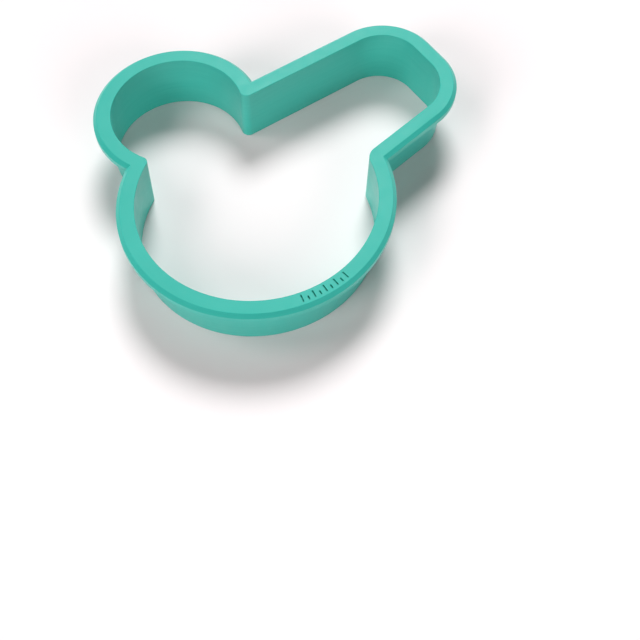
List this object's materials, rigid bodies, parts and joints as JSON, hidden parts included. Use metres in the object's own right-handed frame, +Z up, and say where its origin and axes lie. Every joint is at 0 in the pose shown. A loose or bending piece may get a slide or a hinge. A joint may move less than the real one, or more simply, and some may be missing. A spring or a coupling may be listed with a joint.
{
  "type": "cookie cutter",
  "caption": "Whistle-shaped cookie cutter: a wide flat grip rim on an upright wall that tapers to a thin cutting edge, open right through.",
  "frame": {"origin": "on the table under the middle of the grip rim's bounding box, level with the cutting edge's flat land", "axes": "+X along the mouthpiece from the round body, +Y towards the small bulb, +Z up from the cutting edge to the grip rim"},
  "size_m": [0.1088, 0.0946, 0.0174],
  "materials": {
    "teal_plastic": "satin"
  },
  "bodies": {
    "root": {"grip_rim": "teal_plastic", "cutter_wall": "teal_plastic", "cutting_edge": "teal_plastic"}
  },
  "joints": []
}
